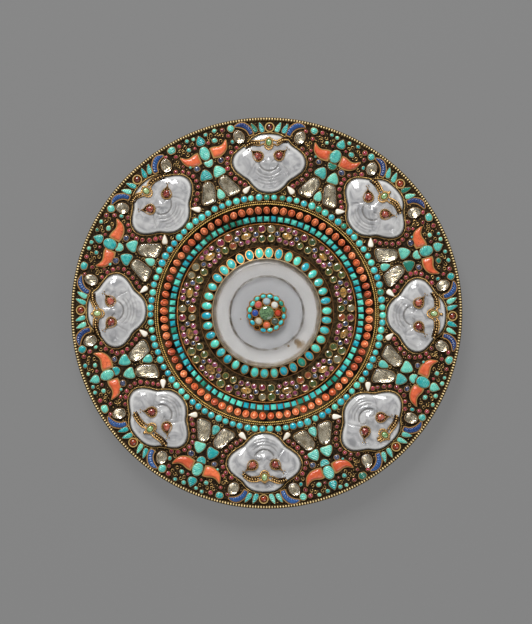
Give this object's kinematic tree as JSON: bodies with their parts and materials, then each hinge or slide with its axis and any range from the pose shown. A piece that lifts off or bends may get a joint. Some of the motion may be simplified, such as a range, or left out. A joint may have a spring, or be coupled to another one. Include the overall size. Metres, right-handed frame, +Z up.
{
  "type": "offering dish",
  "caption": "Round footed dish: a broad flange set with carved crystal masks and winged figures, rows of stones down its wall, a gem band in the well and a crystal disc on a low boss.",
  "frame": {"origin": "middle of the circle that the foot ring stands on, at the bottom of the dish", "axes": "+Z up along the axis of the dish, +Y towards the first mask, which is at the top of the picture"},
  "size_m": [0.33, 0.33, 0.0299],
  "materials": {
    "gilt_sheet": "satin",
    "gilt_wire": "satin",
    "turquoise": "polished",
    "coral": "polished",
    "rock_crystal": "polished",
    "ruby": "polished",
    "set_gems": "polished",
    "set_stones": "polished"
  },
  "bodies": {
    "root": {"dish_body": "gilt_sheet", "foot_ring": "gilt_sheet", "rim_pearl_wire": "gilt_wire", "flange_rope_wires": "gilt_wire", "turquoise_bead_row": "turquoise", "coral_row": "coral", "turquoise_square_row": "turquoise", "turquoise_oval_row": "turquoise", "gem_flower_band": "set_gems", "centre_crystal": "rock_crystal", "centre_collar": "gilt_wire", "centre_medallion": "set_gems", "mask_crystal_1": "rock_crystal", "mask_crystal_2": "rock_crystal", "mask_crystal_3": "rock_crystal", "mask_crystal_4": "rock_crystal", "mask_crystal_5": "rock_crystal", "mask_crystal_6": "rock_crystal", "mask_crystal_7": "rock_crystal", "mask_crystal_8": "rock_crystal", "mask_collar_1": "gilt_wire", "mask_collar_2": "gilt_wire", "mask_collar_3": "gilt_wire", "mask_collar_4": "gilt_wire", "mask_collar_5": "gilt_wire", "mask_collar_6": "gilt_wire", "mask_collar_7": "gilt_wire", "mask_collar_8": "gilt_wire", "mask_diadem_1": "gilt_wire", "mask_diadem_2": "gilt_wire", "mask_diadem_3": "gilt_wire", "mask_diadem_4": "gilt_wire", "mask_diadem_5": "gilt_wire", "mask_diadem_6": "gilt_wire", "mask_diadem_7": "gilt_wire", "mask_diadem_8": "gilt_wire", "mask_eye_left_1": "ruby", "mask_eye_left_2": "ruby", "mask_eye_left_3": "ruby", "mask_eye_left_4": "ruby", "mask_eye_left_5": "ruby", "mask_eye_left_6": "ruby", "mask_eye_left_7": "ruby", "mask_eye_left_8": "ruby", "mask_eye_right_1": "ruby", "mask_eye_right_2": "ruby", "mask_eye_right_3": "ruby", "mask_eye_right_4": "ruby", "mask_eye_right_5": "ruby", "mask_eye_right_6": "ruby", "mask_eye_right_7": "ruby", "mask_eye_right_8": "ruby", "winged_panel_1": "set_stones", "winged_panel_2": "set_stones", "winged_panel_3": "set_stones", "winged_panel_4": "set_stones", "winged_panel_5": "set_stones", "winged_panel_6": "set_stones", "winged_panel_7": "set_stones", "winged_panel_8": "set_stones"}
  },
  "joints": []
}
